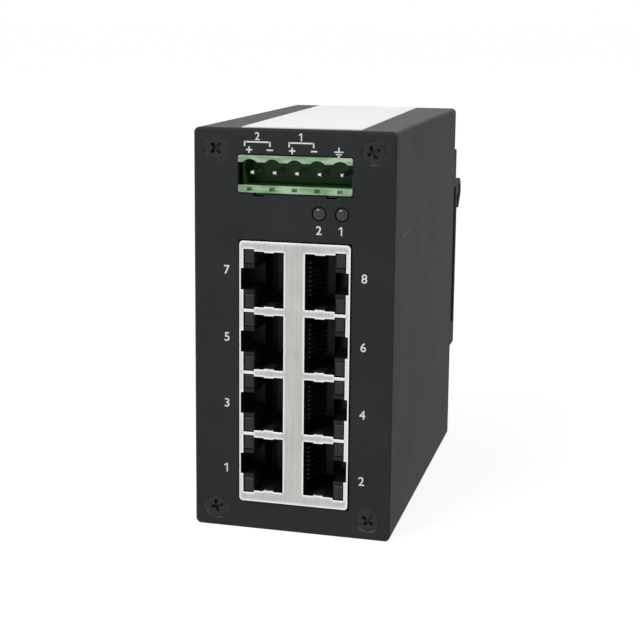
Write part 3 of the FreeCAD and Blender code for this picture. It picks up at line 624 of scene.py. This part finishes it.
def screw_row(name, places, faces_back, seed):
    """Screws with their heads at the places, which replace the CAD node of the same name."""
    points = bpy.data.meshes.new(name + "_places")
    points.from_pydata(places, [], [])
    maker = add_object(name + "_places", points)
    build = maker.modifiers.new("row", "NODES")
    build.node_group = row_tree
    build[row_ports["Screw"]] = cross_screw
    build[row_ports["Faces back"]] = faces_back
    build[row_ports["Seed"]] = seed
    build[row_ports["Finish"]] = oxide
    screws = add_object(name + "_crossed", settled_mesh(maker))
    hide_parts(name)
    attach(screws, "case")


def corner_places(node, y):
    """The middles of four screw heads, from the corners of their node's box."""
    low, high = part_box(node)
    return [
        (x, y, z)
        for x in (low.x + screw_head, high.x - screw_head)
        for z in (low.z + screw_head, high.z - screw_head)
    ]


screw_row("front_screws", corner_places("front_screws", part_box("front_screws")[0].y), False, seed=4)
screw_row("rear_screws", corner_places("rear_screws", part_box("rear_screws")[1].y), True, seed=11)
bracket_low, bracket_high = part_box("bracket_screws")
bracket_height = (bracket_low.z + bracket_high.z) / 2
bracket_places = [
    (x, bracket_high.y, bracket_height) for x in (bracket_low.x + screw_head, bracket_high.x - screw_head)
]
screw_row("bracket_screws", bracket_places, True, seed=23)
bpy.data.objects.remove(cross_screw)


# Label on the top. White film with a satin surface, left blank, stuck on slightly askew; its edges
# are painted a little grey as shade.
film_dark = (0.915, 0.915, 0.915)
film_pale = (0.935, 0.935, 0.93)
film_edge_shade = (0.55, 0.55, 0.56)
film, film_tree, film_shader, film_place = new_finish("label_film", (0.86, 0.86, 0.86), 0.4)
film_cloud = spread(film_tree, noise(film_tree, film_place, size=9 * MM))
film_body = blend_colors(film_tree, film_cloud, film_dark, film_pale)
# Painted shade: the label's edges are painted grey.
film_shaded_edges = sharp_edge_mask(film_tree, soft_edges(film_tree, radius=0.15 * MM), reach=0.4)
film_color = blend_colors(film_tree, film_shaded_edges, film_body, film_edge_shade)
film_tree.links.new(film_color, film_shader.inputs["Base Color"])
film_patch = noise(film_tree, film_place, size=0.4 * MM)
film_tree.links.new(spread(film_tree, film_patch, 0.34, 0.5), film_shader.inputs["Roughness"])
film_grain = noise(film_tree, film_place, size=0.5 * MM)
raise_grain(film_tree, film_shader, film_grain, depth=0.006 * MM, strength=0.4)
cover("top_label", film)


# Socket shield. One folded wrap of satin tin-plated sheet round the socket block, pierced for each
# socket, with fingers that bear on the plugs. Its edges carry a painted highlight and its inside a painted
# shade.
def plated(name, color, roughness, run):
    """Sheet metal with fine rolling lines; run is how much longer they are along each axis."""
    material, tree, shader, place = new_finish(name, color, roughness, metallic=1.0)
    cloud = spread(tree, noise(tree, place, size=6 * MM, detail=4.0))
    dark = [c * 0.86 for c in color]
    body = blend_colors(tree, cloud, dark, color)
    tree.links.new(body, shader.inputs["Base Color"])
    lines = noise(tree, place, size=0.12 * MM, stretch=run)
    tree.links.new(spread(tree, lines, roughness - 0.07, roughness + 0.08), shader.inputs["Roughness"])
    edges = soft_edges(tree, radius=0.1 * MM)
    raise_grain(tree, shader, lines, depth=0.01 * MM, strength=0.35, normal=edges)
    return material, tree, shader, place, body


shield_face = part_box("jack_shield")[0].y
# Painted shade: the sheet is painted dark from about half a millimetre behind its front face.
shield_shade_start = shield_face + 0.45 * MM
shield_shade_end = shield_face + 1.1 * MM
streak_color = (0.63, 0.63, 0.61)
shield_edge_highlight = (0.95, 0.95, 0.94)
shield_inside_shade = (0.1, 0.1, 0.1)
tin_plate, tin_tree, tin_shader, tin_place, tin_body = plated(
    "tin_plate", (0.47, 0.475, 0.455), 0.42, run=(1.0, 1.0, 14.0)
)
tin_lines = noise(tin_tree, tin_place, size=0.45 * MM, detail=2.0, stretch=(1.0, 1.0, 40.0))
tin_streaked = blend_colors(tin_tree, spread(tin_tree, tin_lines, 0.0, 0.3), tin_body, streak_color)
# Painted highlight: the shield's edges are painted near white.
tin_highlight_mask = sharp_edge_mask(tin_tree, soft_edges(tin_tree, radius=0.8 * MM), reach=0.07)
tin_highlit = blend_colors(tin_tree, tin_highlight_mask, tin_streaked, shield_edge_highlight)
tin_depth = add_step(tin_tree, "ShaderNodeSeparateXYZ", {0: tin_place}).outputs["Y"]
tin_painted_shade = spread(tin_tree, tin_depth, start=shield_shade_start, end=shield_shade_end)
tin_color = blend_colors(tin_tree, tin_painted_shade, tin_highlit, shield_inside_shade)
tin_tree.links.new(tin_color, tin_shader.inputs["Base Color"])
cover("jack_shield", tin_plate)


# Socket block, its light pipes and its contacts. Black moulded plastic, smoked clear blocks in the
# outer corners of each socket, and gold plated contact springs on its inner side.
def moulded(name, color, roughness, grain=0.25 * MM, edge=0.12 * MM, level=0.5):
    """Moulded plastic: a fine spark-eroded texture, a little uneven in tone, with soft edges."""
    material, tree, shader, place = new_finish(name, color, roughness)
    shader.inputs["Specular IOR Level"].default_value = level
    cloud = spread(tree, noise(tree, place, size=4 * MM))
    pale = [c * 1.35 for c in color]
    body = blend_colors(tree, cloud, color, pale)
    tree.links.new(body, shader.inputs["Base Color"])
    fine = noise(tree, place, size=grain, detail=2.0)
    tree.links.new(spread(tree, fine, roughness - 0.05, roughness + 0.07), shader.inputs["Roughness"])
    raise_grain(tree, shader, fine, depth=0.01 * MM, strength=0.5, normal=soft_edges(tree, edge))
    return material


cover("jack_housing", moulded("socket_plastic", (0.004, 0.004, 0.0055), 0.42, level=0.22))
smoked = moulded("smoked_block", (0.011, 0.011, 0.0115), 0.34, grain=0.4 * MM, edge=0.2 * MM, level=0.3)
# Painted shade: the contacts' gold is painted far darker than bright gold, as they sit in shade inside the
# sockets.
gold = plated("gold_plate_in_shade", (0.11, 0.08, 0.042), 0.5, run=(8.0, 8.0, 1.0))[0]
for number in range(1, 2 * socket_rows + 1):
    cover("port_lights_%d" % number, smoked)
    cover("port_contacts_%d" % number, gold)


# Power header. Green moulded plastic, painted pale on its front rims as painted light and dark
# deeper in as painted shade, open towards the front, with five square tin-plated pins.
header_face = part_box("power_header")[0].y
lit_rim_full = header_face + 0.8 * MM
lit_rim_end = header_face + 1.15 * MM
shaded_green_dark, shaded_green_pale = (0.008, 0.05, 0.006), (0.018, 0.085, 0.01)
lit_rim_dark, lit_rim_pale = (0.19, 0.33, 0.18), (0.42, 0.54, 0.41)
green, green_tree, green_shader, green_place = new_finish("header_green", (0.03, 0.16, 0.05), 0.4)
green_shader.inputs["Specular IOR Level"].default_value = 0.3
green_cloud = spread(green_tree, noise(green_tree, green_place, size=3 * MM))
shaded_green_body = blend_colors(green_tree, green_cloud, shaded_green_dark, shaded_green_pale)
rim_lumps = noise(green_tree, green_place, size=2.4 * MM, stretch=(2.2, 1.0, 0.5))
rim_patch = spread(green_tree, rim_lumps, start=0.4, end=0.6)
lit_rim_body = blend_colors(green_tree, rim_patch, lit_rim_dark, lit_rim_pale)
green_depth = add_step(green_tree, "ShaderNodeSeparateXYZ", {0: green_place}).outputs["Y"]
# Painted light and shade: the first 0.8 mm behind the front is painted pale, and the green deeper in is
# painted dark.
lit_rim = spread(green_tree, green_depth, 1.0, 0.0, start=lit_rim_full, end=lit_rim_end)
green_color = blend_colors(green_tree, lit_rim, shaded_green_body, lit_rim_body)
green_tree.links.new(green_color, green_shader.inputs["Base Color"])
green_fine = noise(green_tree, green_place, size=0.3 * MM)
green_tree.links.new(spread(green_tree, green_fine, 0.34, 0.48), green_shader.inputs["Roughness"])
green_edges = soft_edges(green_tree, radius=0.18 * MM)
raise_grain(green_tree, green_shader, green_fine, depth=0.012 * MM, strength=0.5, normal=green_edges)
cover("power_header", green)
tin = plated("pin_tin", (0.72, 0.72, 0.7), 0.28, run=(1.0, 10.0, 1.0))[0]
cover("power_pins", tin)


# Status lights. Two round smoked lenses with domed tips, pushed through the panel from behind. Their
# tinned legs and a black moulded spacer hold them at the right height.
lens_radius = 1.45 * MM
lens_dome = 0.9 * MM
lens_chamfer = 0.1 * MM
lens_steps = 40
dome_steps = 12
smoke_dark, smoke_pale = (0.014, 0.0155, 0.0138), (0.028, 0.031, 0.0275)
smoke, smoke_tree, smoke_shader, smoke_place = new_finish("smoked_lens", (0.03, 0.031, 0.03), 0.16)
smoke_shader.inputs["Coat Weight"].default_value = 0.3
smoke_shader.inputs["Coat Roughness"].default_value = 0.05
smoke_shader.inputs["Specular IOR Level"].default_value = 0.3
smoke_shader.inputs["Subsurface Weight"].default_value = 0.25
smoke_shader.inputs["Subsurface Scale"].default_value = 1.0 * MM
smoke_cloud = spread(smoke_tree, noise(smoke_tree, smoke_place, size=1.2 * MM))
smoke_color = blend_colors(smoke_tree, smoke_cloud, smoke_dark, smoke_pale)
smoke_tree.links.new(smoke_color, smoke_shader.inputs["Base Color"])
smoke_patch = noise(smoke_tree, smoke_place, size=0.3 * MM)
smoke_tree.links.new(spread(smoke_tree, smoke_patch, 0.12, 0.22), smoke_shader.inputs["Roughness"])
for number in (1, 2):
    node = "status_light_%d" % number
    low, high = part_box(node)
    profile = [(0.0, low.y)]
    for i in range(1, dome_steps + 1):
        swing = math.radians(90) * i / dome_steps
        profile.append((lens_radius * math.sin(swing), low.y + lens_dome * (1 - math.cos(swing))))
    profile.append((lens_radius, high.y - lens_chamfer))
    profile.append((lens_radius - lens_chamfer, high.y))
    profile.append((0.0, high.y))
    lens_form = turned_form(profile, lens_steps)
    lens_middle = ((low.x + high.x) / 2, 0.0, (low.z + high.z) / 2)
    bmesh.ops.translate(lens_form, vec=lens_middle, verts=lens_form.verts)
    lens_mesh = finished_mesh(lens_form, "status_lens_%d" % number)
    smooth_by_angle(lens_mesh, degrees=40)
    lens_mesh.materials.append(smoke)
    lens = add_object("status_lens_%d" % number, lens_mesh)
    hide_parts(node)
    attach(lens, "case")
cover("status_light_legs", tin)
cover("light_spacer", moulded("spacer_plastic", (0.01, 0.01, 0.011), 0.5))


# Rail bracket. An extruded profile across the back with a hook for the rail's upper edge, under the
# same kind of black coat as the case, rubbed a little brighter.
bracket_coat = powder_coat("black_bracket_coat", (0.013, 0.0128, 0.013), (0.02, 0.0195, 0.0195))[0]
cover("rail_bracket", bracket_coat)


# Rail latch. A slide moulded from black nylon, which runs in the bracket's gap. Pulled down, it frees
# the rail's lower edge.
cover("rail_latch", moulded("latch_nylon", (0.011, 0.011, 0.012), 0.5, grain=0.35 * MM, edge=0.3 * MM))


# Latch springs. Two strips of spring steel folded to and fro, which push the slide back up.
spring_low, spring_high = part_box("latch_springs")
spring_sheet = 0.38 * MM
spring_folds = 6
spring_bend = 0.45 * MM
spring_reach = 1.95 * MM
spring_inset = 2.4 * MM
spring_end = 0.1 * MM
bend_steps = 6
fold_tree = bpy.data.node_groups.new("folded_strip", "GeometryNodeTree")
fold_ports = open_ports(fold_tree, {
    "Line": "Geometry", "Bend": "Float", "Sheet": "Float", "Breadth": "Float", "Finish": "Material",
}, "Strip")
fold_in = fold_tree.nodes.new("NodeGroupInput").outputs
fold_line = add_step(fold_tree, "GeometryNodeMeshToCurve", {"Mesh": fold_in["Line"]})
fold_round = add_step(
    fold_tree, "GeometryNodeFilletCurve",
    {"Curve": fold_line.outputs[0], "Count": bend_steps, "Radius": fold_in["Bend"]}, mode="POLY",
)
fold_section = add_step(
    fold_tree, "GeometryNodeCurvePrimitiveQuadrilateral",
    {"Width": fold_in["Sheet"], "Height": fold_in["Breadth"]},
)
fold_sweep = add_step(fold_tree, "GeometryNodeCurveToMesh", {
    "Curve": fold_round.outputs[0], "Profile Curve": fold_section.outputs[0], "Fill Caps": True,
})
fold_coat = add_step(
    fold_tree, "GeometryNodeSetMaterial", {"Geometry": fold_sweep.outputs[0], "Material": fold_in["Finish"]}
)
add_step(fold_tree, "NodeGroupOutput", {0: fold_coat.outputs[0]})

spring_points = []
spring_lines = []
spring_y = (spring_low.y + spring_high.y) / 2
for centre in (spring_low.x + spring_inset, spring_high.x - spring_inset):
    for i in range(spring_folds + 1):
        side = 1 if i % 2 else -1
        height = spring_low.z + (spring_high.z - spring_low.z) * i / spring_folds
        height = min(max(height, spring_low.z + spring_end), spring_high.z - spring_end)
        if i:
            spring_lines.append((len(spring_points) - 1, len(spring_points)))
        spring_points.append((centre + side * spring_reach, spring_y, height))
spring_path = bpy.data.meshes.new("spring_path")
spring_path.from_pydata(spring_points, spring_lines, [])
spring_maker = add_object("spring_path", spring_path)
fold = spring_maker.modifiers.new("fold", "NODES")
fold.node_group = fold_tree
fold[fold_ports["Bend"]] = spring_bend
fold[fold_ports["Sheet"]] = spring_sheet
fold[fold_ports["Breadth"]] = spring_high.y - spring_low.y
fold[fold_ports["Finish"]] = plated("spring_steel", (0.5, 0.5, 0.5), 0.3, run=(8.0, 1.0, 8.0))[0]
spring_mesh = settled_mesh(spring_maker)
smooth_by_angle(spring_mesh, degrees=40)
springs = add_object("folded_springs", spring_mesh)
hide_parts("latch_springs")
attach(springs, "case")
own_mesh(springs)


# Boards and the pieces on them, inside the case. Green glass-filled laminate, moulded packages,
# two sleeved capacitors and tinned leads.
laminate_dark, laminate_pale = (0.009, 0.08, 0.028), (0.016, 0.13, 0.045)
laminate, laminate_tree, laminate_shader, laminate_place = new_finish(
    "board_laminate", (0.012, 0.1, 0.035), 0.35
)
weave = noise(laminate_tree, laminate_place, size=0.35 * MM, detail=1.0, stretch=(1.0, 1.0, 4.0))
laminate_color = blend_colors(laminate_tree, weave, laminate_dark, laminate_pale)
laminate_tree.links.new(laminate_color, laminate_shader.inputs["Base Color"])
raise_grain(laminate_tree, laminate_shader, weave, depth=0.01 * MM, strength=0.4)
cover("main_board", laminate)
cover("power_board", laminate)
package = moulded("chip_plastic", (0.012, 0.012, 0.013), 0.5)
for node in ("switch_chip", "memory_chip", "voltage_regulator", "input_fuse", "surge_diodes", "link_strip"):
    cover(node, package)
for node in ("link_pins", "switch_chip_leads", "clock_crystal"):
    cover(node, tin)
sleeved = moulded("can_sleeve", (0.02, 0.025, 0.05), 0.35)
cover("input_capacitor", sleeved)
cover("output_capacitor", sleeved)
cover("power_inductor", moulded("ferrite", (0.03, 0.03, 0.032), 0.6))

low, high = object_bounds()
